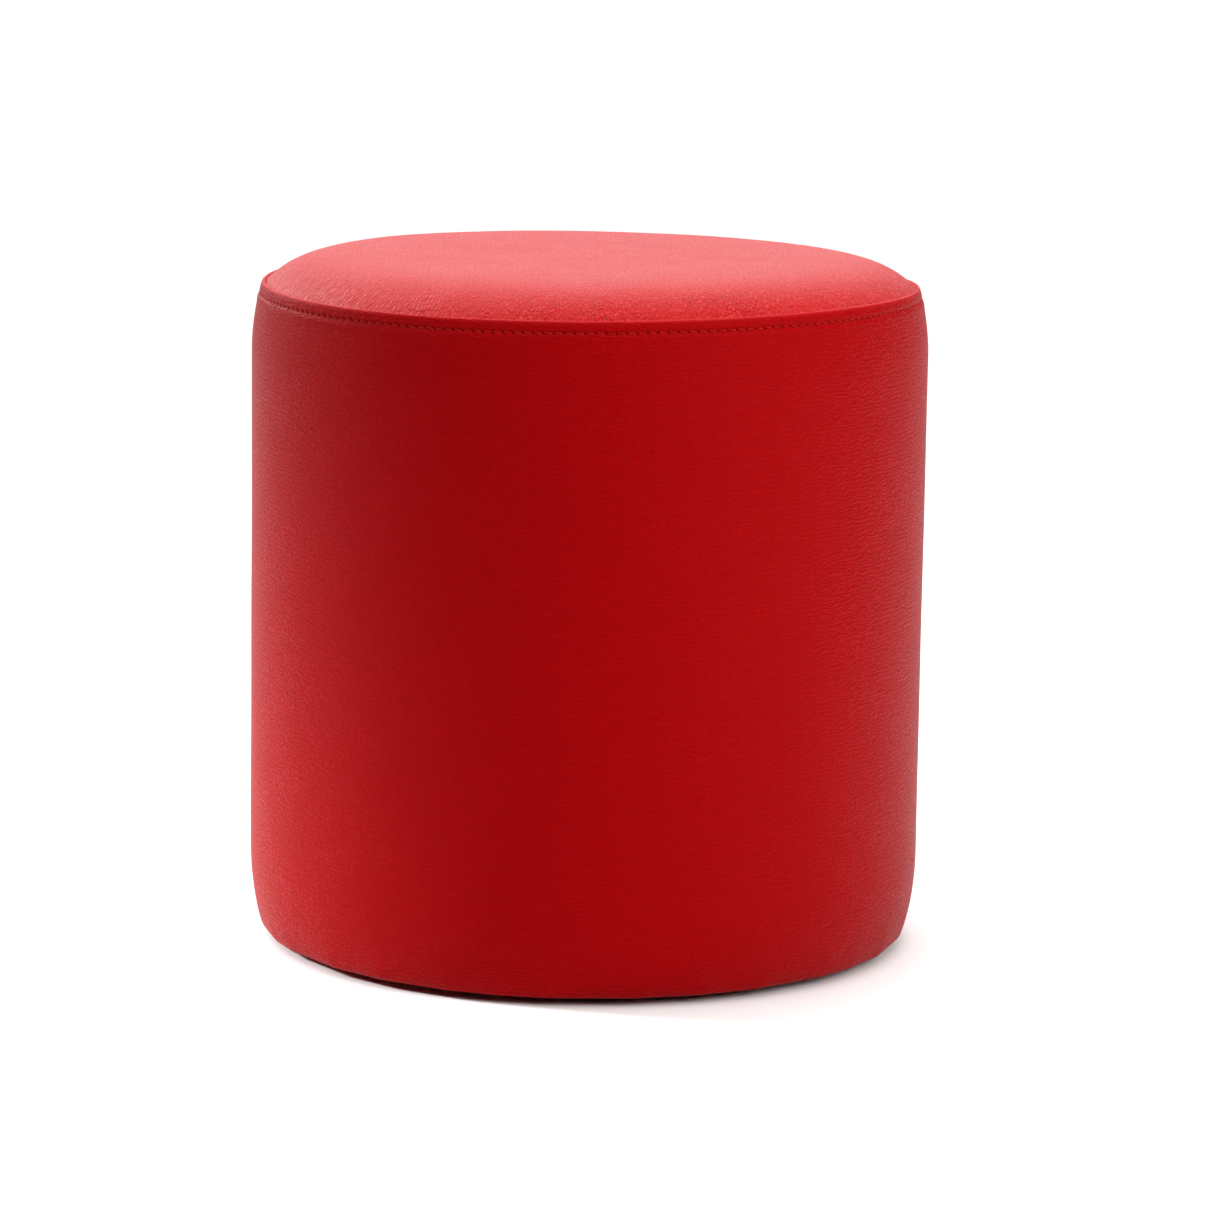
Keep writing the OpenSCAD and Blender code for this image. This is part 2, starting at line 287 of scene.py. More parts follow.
def ring_mesh(name, rings, closed):
    """A mesh from rings of points. A ring may have 2 or 3 times its neighbour's points.
    Closed joins the last ring to the first; if not, each end is filled round its middle."""
    starts = np.cumsum([0] + [len(r) for r in rings])
    points = np.concatenate(rings)
    faces = []
    pairs = [(i, i + 1) for i in range(len(rings) - 1)]
    if closed:
        pairs.append((len(rings) - 1, 0))
    for pair in pairs:
        many, few = sorted(pair, key=lambda i: -len(rings[i]))
        count = len(rings[few])
        times = len(rings[many]) // count
        for j in range(count):
            c, d = starts[few] + j, starts[few] + (j + 1) % count
            m = [starts[many] + (times * j + i) % (times * count) for i in range(times + 1)]
            if times == 1:
                faces.append((c, d, m[1], m[0]))
            elif times == 2:
                faces += [(c, m[1], m[0]), (c, d, m[1]), (d, m[2], m[1])]
            else:
                faces += [(c, m[1], m[0]), (c, d, m[2], m[1]), (d, m[3], m[2])]
    if not closed:
        for end in (0, len(rings) - 1):
            middle = len(points)
            points = np.vstack([points, rings[end].mean(0)])
            count = len(rings[end])
            faces += [(starts[end] + j, starts[end] + (j + 1) % count, middle) for j in range(count)]
    mesh = bpy.data.meshes.new(name)
    mesh.from_pydata(points.tolist(), [], faces)
    work = bmesh.new()
    work.from_mesh(mesh)
    bmesh.ops.recalc_face_normals(work, faces=work.faces)
    work.to_mesh(mesh)
    work.free()
    mesh.shade_smooth()
    piece = bpy.data.objects.new(name, mesh)
    bpy.context.scene.collection.objects.link(piece)
    return piece


def put(piece, material, slot, *nodes):
    """Gives a piece its material and puts it in place of CAD nodes; the slot is not used."""
    piece.data.materials.append(material)
    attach(piece, "root")
    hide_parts(*nodes)


# ---- seat foam -------------------------------------------------------------
# A 50 mm slab of polyurethane foam, cut round and glued to the seat board. The
# cover pulls its upper edge round, and the cut face is full of open cells.

foam_gap = 0.0004
seat_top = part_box("seat_foam")[0].z
seat_foam_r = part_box("seat_foam")[1].x - foam_gap
wadding = 0.0094
foam_drop = leather + wadding + 3 * foam_gap
edge_round = 0.006
bulge, sink = 0.0006, 0.0005


def foam_top(r):
    """The slab's upper face, pressed down near its edge by the cover."""
    return crown(r) - foam_drop


# Its underside is level, as it lies on the board
rings = [ring(columns_few, r, seat_top + foam_gap, level=True) for r in np.linspace(0.02, seat_foam_r, 12)]
for z in np.linspace(seat_top + 0.004, foam_top(seat_foam_r) - edge_round, 8):
    uneven = bulge * (ripple(columns_few, seat_foam_r, z, (0.03, 0.02), 3.0) - 1)
    rings.append(ring(columns_few, seat_foam_r + uneven, z))
for r in np.linspace(seat_foam_r - 0.002, 0.01, 26):
    uneven = sink * (ripple(columns_few, r, 0.0, (0.035, 1.0), 8.0) - 1)
    rings.append(ring(columns_few, r, foam_top(r) + uneven))
seat_foam = ring_mesh("seat_foam_slab", rings, closed=False)

# Flexible polyurethane foam, slabstock: cream, matt, with open cells
pu_foam = new_material("polyurethane_foam_cut")
place = add(pu_foam, "TexCoord").outputs["Object"]
cell = 0.0011
cells = add(pu_foam, "TexVoronoi", {"feature": "SMOOTH_F1", "Scale": 1 / cell, "Smoothness": 0.3},
            {"Vector": place})
tone = add(pu_foam, "ValToRGB", {"stops": [(0.1, "#B99F62"), (0.5, "#E9DBB0")]},
           {"Fac": cells.outputs["Distance"]})
relief = add(pu_foam, "Bump", {"Strength": 0.9, "Distance": 0.0006, "Filter Width": 1.0},
             {"Height": cells.outputs["Distance"]})
shader = add(pu_foam, "BsdfPrincipled",
             {"Roughness": 0.9, "IOR": 1.45, "Subsurface Weight": 0.2,
              "Subsurface Radius": (0.004, 0.003, 0.002)},
             {"Base Color": tone, "Normal": relief})
add(pu_foam, "OutputMaterial", {}, {"Surface": shader})
put(seat_foam, pu_foam, "foam", "seat_foam")


# ---- wall foam -------------------------------------------------------------
# A sheet of the same foam, 9 mm thick under the cover's pull, is glued round the
# wrap with its ends butted at the back. It is squeezed thinner at foot and rim.

side_in = seat_foam_r + 3 * foam_gap
depths = np.linspace(allowance + 0.001, wall_length - 0.016, 60)
foam_unevenness = 0.0003
rings = []
for s in depths:
    soft = foam_unevenness * (ripple(columns_few, wall_r, s, (0.04, 0.04), 5.0) - 1)
    r, z = on_wall(s, -leather - 2 * foam_gap)
    away = np.abs(columns_few - back) * wall_r
    under_seam = leather * (np.minimum(away, 2 * math.pi * wall_r - away) < allowance + 0.001)
    rings.append(ring(columns_few, r + soft - under_seam, z))
for s in depths[::-6]:
    rings.append(ring(columns_few, side_in, on_wall(s)[1]))
side_foam = ring_mesh("side_foam_sheet", rings, closed=True)
put(side_foam, pu_foam, "foam", "side_foam")


# ---- wadding ---------------------------------------------------------------
# A pad of bonded polyester fibre lies on the slab and fills out the crown. It
# is white and lofty, thins at its edge, and has no woven face.

wadding_r = rim_r - 3 * leather - 4 * foam_gap
thin_from, thinning, lofting = 0.17, 0.004, 0.0006
rings = []
for r in np.linspace(0.01, wadding_r - 0.001, 30):
    rings.append(ring(columns_few, r, foam_top(r) + foam_gap))
for r in np.linspace(wadding_r, 0.01, 40):
    loft = lofting * (ripple(columns_few, r, 0.0, (0.02, 1.0), 1.0) - 1)
    thin = thinning * max(0.0, (r - thin_from) / (wadding_r - thin_from)) ** 2
    rings.append(ring(columns_few, r, crown(r) - leather - foam_gap + loft - thin))
seat_wadding = ring_mesh("seat_wadding_pad", rings, closed=False)

# Polyester fibre, carded and bonded: white, hairy, scattering light
fibre_wadding = new_material("polyester_wadding_bonded")
place = add(fibre_wadding, "TexCoord").outputs["Object"]
hair = 0.0004
hairs = add(fibre_wadding, "TexNoise", {"Scale": 0.12 / hair, "Detail": 8.0, "Roughness": 0.75,
                                        "Distortion": 2.0}, {"Vector": place})
tone = add(fibre_wadding, "ValToRGB", {"stops": [(0.3, "#D9DADA"), (0.7, "#F6F6F4")]}, {"Fac": hairs})
relief = add(fibre_wadding, "Bump", {"Strength": 0.8, "Distance": 0.0012}, {"Height": hairs})
shader = add(fibre_wadding, "BsdfPrincipled",
             {"Roughness": 0.95, "IOR": 1.5, "Sheen Weight": 0.4, "Subsurface Weight": 0.3,
              "Subsurface Radius": (0.006, 0.006, 0.006)},
             {"Base Color": tone, "Normal": relief})
add(fibre_wadding, "OutputMaterial", {}, {"Surface": shader})
put(seat_wadding, fibre_wadding, "wadding", "seat_wadding")


# ---- top panel -------------------------------------------------------------
# A disc of leatherette is sewn face to face with the wall along the rim, its
# allowance turned down inside. The seam gathers it into small radial creases.

seam_r = on_wall(0.0, -2 * lip)[0]
unevenness, seam_sink = 0.0004, 0.0003
crease_reach, crease_height = 0.018, 0.00022


def top_surface(angles, r):
    """The crown with its soft unevenness, and radial creases near the seam."""
    soft = unevenness * ripple(angles, r, 0.0, (0.09, 1.0), 2.0)
    close = max(0.0, 1 - (seam_r - r) / crease_reach) ** 1.5
    creases = ripple(angles, seam_r, r, (0.0030, 0.020), 6.0) + ripple(angles, seam_r, r, (0.008, 0.04), 7.0)
    return crown(r) + soft - seam_sink * close + crease_height * close * creases


# The rings close up toward the seam, where the creases are
rings = [ring(columns_few, r, top_surface(columns_few, r)) for r in np.arange(0.012, 0.066, 0.006)]
rings += [ring(columns_mid, r, top_surface(columns_mid, r)) for r in np.arange(0.069, 0.168, 0.003)]
rings += [ring(columns, r, top_surface(columns, r)) for r in np.arange(0.1695, seam_r - 0.0004, 0.0009)]
# At the seam it turns down close behind the wall's lip
for inset, drop in ((0.0003, 0.0003), (0.0002, 0.0010), (0.0003, 0.0018)):
    rings.append(ring(columns, seam_r - inset, top_surface(columns, seam_r) - drop))
for s in np.linspace(0.003, allowance, 4):
    rings.append(ring(columns_mid, *on_wall(s, -2 * leather - 0.0002)))
for s in np.linspace(allowance, 0.004, 4):
    rings.append(ring(columns_mid, *on_wall(s, -3 * leather - 0.0002)))
for r in np.concatenate([[wadding_r + 0.0005], np.linspace(0.185, 0.01, 22)]):
    rings.append(ring(columns_few, r, top_surface(columns_few, r) - leather))
top_panel = ring_mesh("top_panel_leatherette", rings, closed=False)


def grain_height(material, spot, stretch, wrinkle, pebble):
    """The height of the embossed grain, drawn out by stretch along the first coordinate."""
    wander_size, wander_reach, patch = 0.008, 0.0045, 0.050
    wander = add(material, "TexNoise", {"Scale": 1 / wander_size, "Detail": 1.0}, {"Vector": spot})
    centred = add(material, "VectorMath", {"operation": "SUBTRACT", 1: (0.5, 0.5, 0.5)},
                  {0: wander.outputs["Color"]})
    shift = add(material, "VectorMath", {"operation": "SCALE", "Scale": wander_reach}, {0: centred})
    spot = add(material, "VectorMath", {"operation": "ADD"}, {0: spot, 1: shift})
    lengthened = add(material, "Mapping", {"Scale": (1 / (1.5 * stretch * wrinkle), 1 / wrinkle, 1.0)},
                     {"Vector": spot})
    wrinkles = add(material, "TexNoise", {"Scale": 1.0, "Detail": 1.0, "Roughness": 0.5},
                   {"Vector": lengthened})
    pebbled = add(material, "Mapping", {"Scale": (1 / (stretch * pebble), 1 / pebble, 1.0)},
                  {"Vector": spot})
    creases = add(material, "TexVoronoi",
                  {"feature": "DISTANCE_TO_EDGE", "Scale": 1.0, "Randomness": 0.75},
                  {"Vector": pebbled})
    pebbles = add(material, "MapRange", {"interpolation_type": "SMOOTHSTEP", "From Max": 0.25},
                  {"Value": creases.outputs["Distance"]})
    patches = add(material, "TexNoise", {"Scale": 1 / patch, "Detail": 2.0}, {"Vector": spot})
    strength = add(material, "MapRange",
                   {"From Min": 0.35, "From Max": 0.65, "To Min": 0.2, "To Max": 0.6},
                   {"Value": patches})
    raised = add(material, "Math", {"operation": "MULTIPLY"}, {0: pebbles, 1: strength})
    return add(material, "Math", {"operation": "ADD"}, {0: raised, 1: wrinkles})


def leatherette(name, grain_of, depth, shine, red, hollow_shade_red):
    """Polyurethane leatherette, embossed with a grain and sealed with a soft gloss. Shade is painted into
    its grain's valleys and, darker still, into its needle holes; a highlight is painted paler on its lip,
    and its low-angle reflections are paler."""
    material = new_material(name)
    grain = grain_of(material)
    relief = add(material, "Bump", {"Strength": 1.0, "Distance": depth}, {"Height": grain})
    # Painted shade: the lower the grain, the darker its red, so the valleys look shaded
    hollow_shade = add(material, "MapRange", {"From Min": 0.45, "From Max": 0.9, "To Min": 0.35, "To Max": 0.0},
                 {"Value": grain})
    tone = add(material, "Mix", {"data_type": "RGBA", 6: hex_colour(red), 7: hex_colour(hollow_shade_red)},
               {0: hollow_shade})
    # Painted shade darkens the needle holes and the groove between them; a painted highlight lightens the
    # lip
    for attribute, colour in (("needle_hole", "#5E0103"), ("burnished", "#D2282C")):
        share = add(material, "Attribute", {"attribute_name": attribute}).outputs["Fac"]
        tone = add(material, "Mix", {"data_type": "RGBA", 7: hex_colour(colour)},
                   {0: share, 6: tone.outputs[2]})
    gloss = add(material, "MapRange", {"From Min": 0.4, "From Max": 1.0, "To Min": 0.56, "To Max": 0.42},
                {"Value": grain})
    shader = add(material, "BsdfPrincipled",
                 {"IOR": 1.5, "Specular IOR Level": shine, "Specular Tint": (1.0, 0.06, 0.06, 1.0),
                  "Sheen Weight": 0.02, "Sheen Roughness": 0.35},
                 {"Base Color": tone.outputs[2], "Roughness": gloss, "Normal": relief})
    add(material, "OutputMaterial", {}, {"Surface": shader})
    return material


def top_grain(material):
    """Round pebbles on the seat, drawn into creases that run down to the seam at its edge."""
    place = add(material, "TexCoord").outputs["Object"]
    xyz = add(material, "SeparateXYZ", {}, {"Vector": place})
    angle = add(material, "Math", {"operation": "ARCTAN2"}, {0: xyz.outputs["X"], 1: xyz.outputs["Y"]})
    arc = add(material, "Math", {"operation": "MULTIPLY", 1: wall_r}, {0: angle})
    flat = add(material, "CombineXYZ", {}, {"X": xyz.outputs["X"], "Y": xyz.outputs["Y"]})
    radius = add(material, "VectorMath", {"operation": "LENGTH"}, {0: flat}).outputs["Value"]
    round_seat = add(material, "CombineXYZ", {}, {"X": radius, "Y": arc})
    on_roll = add(material, "MapRange", {"From Min": 0.150, "From Max": 0.180}, {"Value": radius})
    middle = grain_height(material, place, 1.3, 0.0013, 0.0023)
    edge = grain_height(material, round_seat, 1.6, 0.0013, 0.0021)
    bolder = add(material, "Math", {"operation": "MULTIPLY_ADD", 1: 1.7, 2: -0.5}, {0: edge})
    return add(material, "Mix", {"data_type": "FLOAT"}, {0: on_roll, 2: middle, 3: bolder})


# The seat and the wall are one leatherette, but the seat's red is painted lighter: painted light for the
# brighter light on the seat
top_leather = leatherette("leatherette_top_panel", top_grain, 0.00040, 0.5, "#AC0105", "#8E0103")
put(top_panel, top_leather, "leatherette", "top_panel")


# ---- wall panel ------------------------------------------------------------
# One strip of leatherette is closed by a seam at the back, folded over at the
# rim, topstitched 6 mm below it, drawn down, and pleated under the base board.

stitch_drop = 0.0060
pitch = 2 * math.pi / stitches
hem = 0.044
# The band over the stitches stands proud, the stitches lie in a groove, and the padding puffs below
band_height, band_edge = 0.0006, 0.0014
groove_depth, groove_width = 0.00045, 0.0009
hole_depth, hole_width = 0.0007, 0.0006
pucker_depth, pucker_width = 0.00016, 0.0030
puff_height, puff_drop, puff_width = 0.00035, 0.0035, 0.0025
wrinkle_height, wrinkle_reach = 0.00016, 0.010
wall_unevenness = 0.00025
# Painted shade darkens the needle holes, and the groove between them a little
hole_shade_width, groove_shade_width, groove_shade = 0.0007, 0.0008, 0.15
# The closing seam is a narrow groove between two allowances that show through as low steps
closing_depth, closing_width = 0.0009, 0.0007
step_height, step_edge, step_slope = 0.00045, 0.0130, 0.0025
# Staples under the base pull the foot in, not quite evenly spaced
staples, pull_height = 31, 0.010
rng = np.random.default_rng(4)
pulls = (np.arange(staples) + 0.28 * rng.uniform(-1, 1, staples)) * 2 * math.pi / staples


def flats(angles):
    """How far the foot lies inside its circle: it runs straight from one pull to the next."""
    turned = np.mod(angles - pulls[0], 2 * math.pi) + pulls[0]
    ends = np.append(pulls, pulls[0] + 2 * math.pi)
    i = np.clip(np.searchsorted(ends, turned, side="right") - 1, 0, staples - 1)
    middle, half = (ends[i] + ends[i + 1]) / 2, (ends[i + 1] - ends[i]) / 2
    return foot_r * (1 - np.cos(half) / np.cos(turned - middle))


def seam_distance(angles):
    """Metres round the wall from the closing seam."""
    away = np.mod(angles - back + math.pi, 2 * math.pi) - math.pi
    return away * wall_r


def bell(distance, width):
    """1 at no distance, and dying away over the width."""
    return np.exp(-(distance / width) ** 2)


def hole_phase(angles):
    """1 at each needle hole and -1 midway between two."""
    return np.cos((angles - back) / pitch * 2 * math.pi)


def wall_relief(angles, s):
    """How far the sewn and padded wall stands out from its plain line, s below the rim."""
    relief = np.zeros_like(angles)
    if s < stitch_drop:
        relief += band_height * (1 - 0.8 * s / stitch_drop) * min(1.0, (stitch_drop - s) / band_edge)
    relief -= groove_depth * bell(s - stitch_drop, groove_width)
    below = max(0.0, s - stitch_drop)
    if below:
        relief += puff_height * bell(below - puff_drop, puff_width)
        wrinkled = math.exp(-below / wrinkle_reach)
        relief += wrinkle_height * wrinkled * ripple(angles, wall_r, s, (0.0045, 0.004), 9.0)
    phase = hole_phase(angles)
    relief -= hole_depth * np.clip(phase, 0, 1) ** 6 * bell(s - stitch_drop, hole_width)
    relief -= pucker_depth * (phase + 1) / 2 * bell(s - stitch_drop, pucker_width)
    relief += wall_unevenness * ripple(angles, wall_r, s, (0.10, 0.08), 11.0)
    across = np.abs(seam_distance(angles))
    relief += step_height * np.clip((step_edge - across) / step_slope, 0, 1) * (s > stitch_drop + 0.002)
    relief -= closing_depth * bell(across, closing_width)
    return relief


def shade(angles, s):
    """How much shade is painted into the needle holes, and into the groove between them."""
    holes = np.clip(hole_phase(angles), 0, 1) ** 4 * bell(s - stitch_drop, hole_shade_width)
    return holes + groove_shade * bell(s - stitch_drop, groove_shade_width)


def wall_ring(angles, s):
    """The wall's outer face, s below the rim, drawn in to its flats at the foot."""
    r, z = on_wall(s, wall_relief(angles, s))
    drawn = np.exp(-np.clip(z - cover_z, 0, None) / pull_height)
    return ring(angles, r - flats(angles) * drawn, z)


hem_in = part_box("base_board")[1].x - hem
turn_r = on_wall(wall_length)[0]
pleats = 0.00035 * ripple(columns_mid, foot_r, 0.0, (0.006, 1.0), 13.0)
# The rings run from the hem's raw edge out to the foot, up the wall, over the lip and back inside
rings = []
for r in np.linspace(hem_in, turn_r - 0.0010, 18):
    in_view = max(0.0, (r - 0.178) / 0.012)
    flat_side = flats(columns_mid) * max(0.0, (r - 0.170) / 0.020)
    rings.append(ring(columns_mid, r - flat_side, cover_z + 0.0002 + pleats * (0.3 + in_view)))
for s in np.concatenate([np.linspace(wall_length, wall_length - 0.010, 8),
                         np.arange(wall_length - 0.013, wall_length - 0.052, -0.003),
                         np.arange(wall_length - 0.055, 0.028, -0.005)]):
    rings.append(wall_ring(columns_mid, s))
plain_points = sum(len(points) for points in rings)
# A highlight is painted on the lip: a little paler all along, and palest at its crest
lip_highlight_share, crest = 0.25, 0.2
dark, bright = [], []
for s in np.concatenate([np.arange(0.026, 0.009, -0.0015), np.arange(0.0090, -0.0001, -0.0006)]):
    rings.append(wall_ring(columns, max(s, 0.0)))
    # Painted shade for the needle holes and the groove
    dark.append(shade(columns, s))
    # Painted highlight, fading down from the lip
    bright.append(np.full(len(columns), lip_highlight_share * math.exp(-s / 0.0006)))
lip_r, lip_z = on_wall(0.0, -lip)
out_r, out_z = on_wall(0.0)
start = math.atan2(float(out_z - lip_z), float(out_r - lip_r))
for turn in np.linspace(0, math.pi, 7)[1:]:
    a = start + turn
    swell = wall_relief(columns, 0.0) * (1 + math.cos(turn)) / 2
    rings.append(ring(columns, lip_r + (lip + swell) * math.cos(a), lip_z + (lip + swell) * math.sin(a)))
    dark.append(np.zeros(len(columns)))
    bright.append(np.full(len(columns), lip_highlight_share + crest * math.sin(turn)))
for s in np.linspace(0.002, allowance, 5):
    rings.append(ring(columns_mid, *on_wall(s, -2 * leather)))
for s in np.concatenate([np.linspace(allowance, wall_length - 0.04, 16),
                         np.linspace(wall_length - 0.03, wall_length - 0.001, 8)]):
    rings.append(ring(columns_few, *on_wall(s, -leather)))
for r in np.linspace(turn_r - leather, hem_in, 8):
    rings.append(ring(columns_few, r, cover_z + leather))
side_panel = ring_mesh("side_panel_leatherette", rings, closed=True)
for name, painted in (("needle_hole", dark), ("burnished", bright)):
    values = np.zeros(len(side_panel.data.vertices))
    painted = np.concatenate(painted)
    values[plain_points:plain_points + len(painted)] = painted
    side_panel.data.attributes.new(name, "FLOAT", "POINT").data.foreach_set("value", values)


def wall_grain(material):
    """Low wrinkles that run round the wall, across its upright pull."""
    xyz = add(material, "SeparateXYZ", {}, {"Vector": add(material, "TexCoord").outputs["Object"]})
    minus_y = add(material, "Math", {"operation": "MULTIPLY", 1: -1.0}, {0: xyz.outputs["Y"]})
    angle = add(material, "Math", {"operation": "ARCTAN2"}, {0: xyz.outputs["X"], 1: minus_y})
    arc = add(material, "Math", {"operation": "MULTIPLY", 1: wall_r}, {0: angle})
    round_wall = add(material, "CombineXYZ", {}, {"X": arc, "Y": xyz.outputs["Z"]})
    pebbled = grain_height(material, round_wall, 2.4, 0.0012, 0.0021)
    drawn_out = add(material, "Mapping", {"Scale": (0.75, 1.0, 1.0)}, {"Vector": round_wall})
    pull_line = 0.0026
    lines = add(material, "TexWave",
                {"bands_direction": "Y", "Scale": wave_scale(pull_line), "Distortion": 7.5,
                 "Detail": 1.0, "Detail Scale": 1.6}, {"Vector": drawn_out})
    return add(material, "Mix", {"data_type": "FLOAT", 0: 0.35}, {2: pebbled, 3: lines})


# The wall's red is painted darker than the seat's: painted shade for the dimmer light on the wall
wall_leather = leatherette("leatherette_side_panel", wall_grain, 0.00034, 0.08, "#950508", "#780406")
put(side_panel, wall_leather, "leatherette", "side_panel")


# ---- threads ---------------------------------------------------------------
# Bonded polyester thread. The topstitching lies along the groove under the
# band, each stitch a little aslant, and dives into a needle hole at each end.

def thread_run(name, paths, thickness):
    """Short tubes of thread, each along its own path of points, tapered at the ends."""
    sides = 8
    points, faces = [], []
    for path in paths:
        path = np.asarray(path)
        tangent = np.gradient(path, axis=0)
        tangent /= np.linalg.norm(tangent, axis=1)[:, None]
        up = np.array([0.0, 0.0, 1.0])
        for k, (centre, t) in enumerate(zip(path, tangent)):
            side = np.cross(t, up)
            side /= np.linalg.norm(side)
            rise = np.cross(side, t)
            end = min(k, len(path) - 1 - k)
            size = thickness / 2 * (0.55, 0.9, 1.0)[min(end, 2)]
            for turn in np.linspace(0, 2 * math.pi, sides, endpoint=False):
                points.append(centre + size * (math.cos(turn) * side + math.sin(turn) * rise))
        first = len(points) - sides * len(path)
        for k in range(len(path) - 1):
            for i in range(sides):
                a, b = first + k * sides + i, first + k * sides + (i + 1) % sides
                faces.append((a, b, b + sides, a + sides))
        faces.append([first + i for i in range(sides)][::-1])
        faces.append([len(points) - sides + i for i in range(sides)])
    mesh = bpy.data.meshes.new(name)
    mesh.from_pydata([p.tolist() for p in points], [], faces)
    mesh.shade_smooth()
    piece = bpy.data.objects.new(name, mesh)
    bpy.context.scene.collection.objects.link(piece)
    return piece


thread_d, hidden_thread_d = 0.00048, 0.0004
slant, dive = 0.0004, 0.0009
half_stitch, half_hidden = 0.46 * pitch, 0.44 * pitch
paths = []
for k in range(stitches):
    middle = k * pitch - back
    lean = 1 + 0.25 * noise.noise(Vector((k * 0.7, 0.0, 0.0)))
    path = []
    for t in np.linspace(-1, 1, 9):
        angle = np.array([middle + t * half_stitch])
        s = stitch_drop + slant * lean * t
        r, z = on_wall(s, -0.00015 - dive * abs(t) ** 4)
        path.append(ring(angle, r, z)[0])
    paths.append(path)
topstitch = thread_run("topstitch_stitches", paths, thread_d)

# Polyester thread, twisted and bonded: dyed to match, with a slight lustre
thread = new_material("polyester_thread_bonded")
place = add(thread, "TexCoord").outputs["Object"]
twist = 0.0006
ply_lines = add(thread, "TexNoise", {"Scale": 1 / twist, "Detail": 2.0}, {"Vector": place})
tone = add(thread, "ValToRGB", {"stops": [(0.3, "#A31412"), (0.7, "#C2221E")]}, {"Fac": ply_lines})
relief = add(thread, "Bump", {"Strength": 0.6, "Distance": 0.0001}, {"Height": ply_lines})
shader = add(thread, "BsdfPrincipled",
             {"Roughness": 0.65, "IOR": 1.55, "Specular IOR Level": 0.12,
              "Specular Tint": (1.0, 0.1, 0.1, 1.0)},
             {"Base Color": tone, "Normal": relief})
add(thread, "OutputMaterial", {}, {"Surface": shader})
put(topstitch, thread, "thread", "topstitch_thread")

# The seam that joins the panels runs unseen between their allowances
paths = []
for k in range(stitches):
    middle = k * pitch - back
    path = []
    for t in np.linspace(-1, 1, 5):
        angle = np.array([middle + t * half_hidden])
        path.append(ring(angle, *on_wall(0.003, -2 * leather - 0.0001))[0])
    paths.append(path)
rim_seam = thread_run("rim_seam_stitches", paths, hidden_thread_d)
put(rim_seam, thread, "thread", "rim_seam_thread")

# The closing seam's stitches lie in the bottom of its groove
paths = []
back_pitch = 0.0035
for s in np.arange(0.016, wall_length - 0.02, back_pitch):
    path = []
    for t in np.linspace(-0.42, 0.42, 5):
        r, z = on_wall(s + t * back_pitch, -0.0008)
        path.append(np.array([0.00004, float(r), float(z)]))
    paths.append(path)
back_seam = thread_run("back_seam_stitches", paths, hidden_thread_d)
put(back_seam, thread, "thread", "back_seam_thread")


# ---- dust cover ------------------------------------------------------------
# A disc of black spunbonded cloth closes the underside. Its edge is turned in
# once, and it is stapled all round, so it scallops a little between staples.

dust_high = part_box("dust_cover")[1]
dust_r = dust_high.x
dust_staples = 24
scallop = 0.0009 * (1 + np.cos((columns_mid + back) * dust_staples)) / 2
cloth = 0.00035
under_z = dust_high.z - cloth - 0.0001
turned_r = 0.170
rings = []
for r in np.arange(0.012, turned_r, 0.006):
    sag = 0.0004 * ripple(columns_few, r, 0.0, (0.05, 1.0), 17.0) * (1 - (r / dust_r) ** 2)
    rings.append(ring(columns_few, r, under_z - np.abs(sag)))
for r, drop in ((0.1705, 0.0), (0.1712, 0.00018), (0.1730, 0.0002), (0.1760, 0.0001),
                (dust_r - 0.0020, 0.0002), (dust_r - 0.0006, 0.00012)):
    puff = 0.00008 * ripple(columns_mid, r, 0.0, (0.008, 1.0), 19.0)
    part = scallop * (r - turned_r) / (dust_r - turned_r)
    rings.append(ring(columns_mid, r - part, under_z - drop + puff))
rings.append(ring(columns_mid, dust_r - scallop, dust_high.z - 0.0002))
for r in np.linspace(dust_r - 0.002, 0.012, 20):
    rings.append(ring(columns_few, r, dust_high.z - 0.00008))
dust_cover = ring_mesh("dust_cover_cloth", rings, closed=False)

# Polypropylene, spunbonded: black and matt, pressed together at small points
spunbond = new_material("polypropylene_spunbonded")
place = add(spunbond, "TexCoord").outputs["Object"]
point, filament = 0.0011, 0.0003
bonds = add(spunbond, "TexVoronoi", {"Scale": 1 / point, "Randomness": 0.1}, {"Vector": place})
strands = add(spunbond, "TexNoise", {"Scale": 0.3 / filament, "Detail": 6.0, "Distortion": 1.5},
              {"Vector": place})
tone = add(spunbond, "ValToRGB", {"stops": [(0.3, "#0B0B0C"), (0.75, "#1E1F21")]}, {"Fac": strands})
pressed = add(spunbond, "Math", {"operation": "ADD"}, {0: bonds.outputs["Distance"], 1: strands})
relief = add(spunbond, "Bump", {"Strength": 0.7, "Distance": 0.0003}, {"Height": pressed})
shader = add(spunbond, "BsdfPrincipled", {"Roughness": 0.85, "IOR": 1.49, "Sheen Weight": 0.15},
             {"Base Color": tone, "Normal": relief})
add(spunbond, "OutputMaterial", {}, {"Surface": shader})
put(dust_cover, spunbond, "dust_cloth", "dust_cover")


# ---- glides ----------------------------------------------------------------
# Four low discs of black polyethylene, moulded and screwed on. Standing on
# floors has scuffed their undersides.

